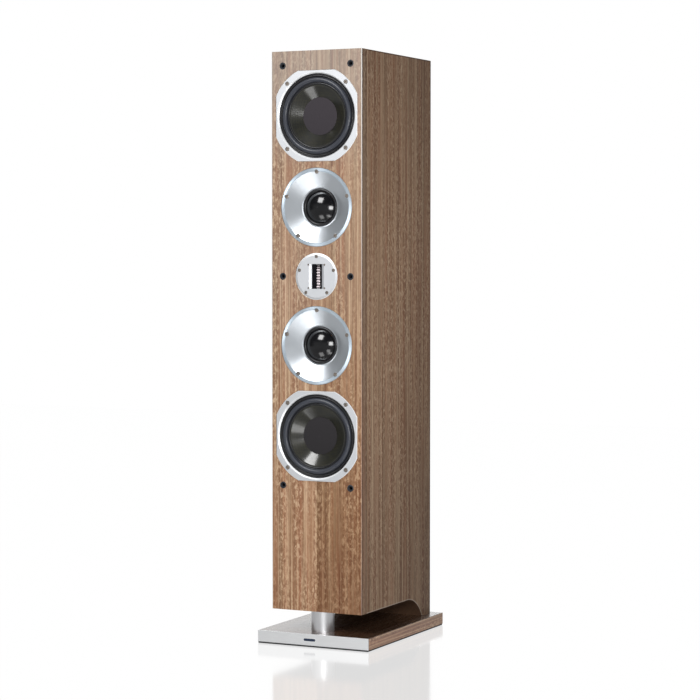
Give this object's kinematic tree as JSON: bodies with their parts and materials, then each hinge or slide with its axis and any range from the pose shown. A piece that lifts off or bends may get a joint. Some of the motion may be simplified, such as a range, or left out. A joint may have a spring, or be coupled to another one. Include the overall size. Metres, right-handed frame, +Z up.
{
  "type": "floorstanding loudspeaker",
  "caption": "Tall loudspeaker with a ribbon tweeter between dome midranges and bass cones, in a vented veneered cabinet standing on a pillar and rear foot over a plinth.",
  "frame": {"origin": "centre of the plinth's underside, on the floor", "axes": "+Z up, the front baffle faces -Y, +X to the right of someone facing the front"},
  "size_m": [0.266, 0.394, 1.28],
  "materials": {
    "veneer": "satin lacquered walnut veneer",
    "plinth_lacquer": "high-gloss lacquered walnut veneer",
    "board": "raw fibreboard",
    "base_plate": "matt black",
    "satin_aluminium": "satin, spun or brushed",
    "cast_aluminium": "machined and lacquered",
    "polished_aluminium": "polished",
    "badge": "dark enamel, blank",
    "cone": "woven fibre under clear resin",
    "cap_cloth": "fine dark cloth",
    "surround_rubber": "matt black",
    "dome": "glossy black",
    "dome_surround": "matt black",
    "voice_coil": "wound wire on a former",
    "spider_cloth": "resin-dipped cloth",
    "ferrite": "sintered",
    "motor_steel": "zinc plated",
    "ribbon_foil": "bare foil",
    "black_steel": "black oxide",
    "black_plastic": "moulded",
    "socket_plastic": "moulded",
    "screw_steel": "burnished",
    "bolt_steel": "zinc plated",
    "post_brass": "plated",
    "knob_clear": "moulded",
    "insert_brass": "threaded insert",
    "circuit_board": "fibre laminate",
    "copper_coil": "enamelled wire",
    "capacitor": "film wound",
    "lead_sheath": "insulated lead",
    "foam": "open-cell foam"
  },
  "bodies": {
    "cabinet": {"front_baffle": "veneer", "side_panel_left": "veneer", "side_panel_right": "veneer", "top_panel": "veneer", "back_panel": "veneer", "bottom_panel": "board", "rear_foot": "veneer", "line_partition": "board", "window_braces": "board", "damping_foam": "foam", "plinth_board": "plinth_lacquer", "plinth_base_plate": "base_plate", "plinth_front_strip": "satin_aluminium", "plinth_badge": "badge", "front_pillar": "polished_aluminium", "plinth_bolts": "bolt_steel", "spike_inserts": "insert_brass", "grille_sockets": "socket_plastic", "woofer_magnets": "ferrite", "woofer_pole_plates": "motor_steel", "woofer_screws": "screw_steel", "mid_magnets": "ferrite", "mid_pole_plates": "motor_steel", "mid_rear_cups": "black_plastic", "tweeter_faceplate": "satin_aluminium", "tweeter_magnet_poles": "black_steel", "tweeter_housing": "black_plastic", "tweeter_ribbon_clamps": "motor_steel", "terminal_cup": "black_plastic", "binding_posts": "post_brass", "crossover_board": "circuit_board", "crossover_coils": "copper_coil", "crossover_capacitors": "capacitor", "wiring_leads": "lead_sheath", "plate_screws": "screw_steel", "woofer_upper_chassis": "cast_aluminium", "woofer_upper_surround": "surround_rubber", "woofer_upper_spider": "spider_cloth", "mid_upper_faceplate": "satin_aluminium", "mid_upper_surround": "dome_surround", "woofer_lower_chassis": "cast_aluminium", "woofer_lower_surround": "surround_rubber", "woofer_lower_spider": "spider_cloth", "mid_lower_faceplate": "satin_aluminium", "mid_lower_surround": "dome_surround"},
    "woofer_upper_diaphragm": {"woofer_upper_cone": "cone", "woofer_upper_dust_cap": "cap_cloth", "woofer_upper_voice_coil": "voice_coil"},
    "mid_upper_diaphragm": {"mid_upper_dome": "dome", "mid_upper_voice_coil": "voice_coil"},
    "woofer_lower_diaphragm": {"woofer_lower_cone": "cone", "woofer_lower_dust_cap": "cap_cloth", "woofer_lower_voice_coil": "voice_coil"},
    "mid_lower_diaphragm": {"mid_lower_dome": "dome", "mid_lower_voice_coil": "voice_coil"},
    "ribbon": {"tweeter_ribbon": "ribbon_foil"},
    "post_washer_plus": {"clamp_washer_plus": "post_brass"},
    "post_knob_plus": {"terminal_knob_plus": "knob_clear"},
    "post_washer_minus": {"clamp_washer_minus": "post_brass"},
    "post_knob_minus": {"terminal_knob_minus": "knob_clear"}
  },
  "joints": [
    {"name": "woofer_upper_excursion", "type": "slide", "parent": "cabinet", "child": "woofer_upper_diaphragm", "axis": [0, -1, 0], "range_m": [-0.005, 0.005], "stiffness_N_per_m": 1200, "deforming": ["woofer_upper_surround", "woofer_upper_spider"]},
    {"name": "woofer_lower_excursion", "type": "slide", "parent": "cabinet", "child": "woofer_lower_diaphragm", "axis": [0, -1, 0], "range_m": [-0.005, 0.005], "stiffness_N_per_m": 1200, "deforming": ["woofer_lower_surround", "woofer_lower_spider"]},
    {"name": "mid_upper_excursion", "type": "slide", "parent": "cabinet", "child": "mid_upper_diaphragm", "axis": [0, -1, 0], "range_m": [-0.001, 0.001], "stiffness_N_per_m": 1500, "deforming": ["mid_upper_surround"]},
    {"name": "mid_lower_excursion", "type": "slide", "parent": "cabinet", "child": "mid_lower_diaphragm", "axis": [0, -1, 0], "range_m": [-0.001, 0.001], "stiffness_N_per_m": 1500, "deforming": ["mid_lower_surround"]},
    {"name": "ribbon_excursion", "type": "slide", "parent": "cabinet", "child": "ribbon", "axis": [0, -1, 0], "range_m": [-0.0003, 0.0003], "stiffness_N_per_m": 40},
    {"name": "post_plus_lift", "type": "slide", "parent": "cabinet", "child": "post_washer_plus", "axis": [0, 1, 0], "range_m": [0, 0.005]},
    {"name": "post_plus_turn", "type": "hinge", "parent": "post_washer_plus", "child": "post_knob_plus", "pos_m": [0.019, 0.17, 0.19], "axis": [0, -1, 0], "range_deg": [-1800, 0]},
    {"name": "post_minus_lift", "type": "slide", "parent": "cabinet", "child": "post_washer_minus", "axis": [0, 1, 0], "range_m": [0, 0.005]},
    {"name": "post_minus_turn", "type": "hinge", "parent": "post_washer_minus", "child": "post_knob_minus", "pos_m": [-0.019, 0.17, 0.19], "axis": [0, -1, 0], "range_deg": [-1800, 0]}
  ],
  "couplings": [
    {"joint": "post_plus_lift", "follows": "post_plus_turn", "m_per_rad": -0.00015915},
    {"joint": "post_minus_lift", "follows": "post_minus_turn", "m_per_rad": -0.00015915}
  ]
}
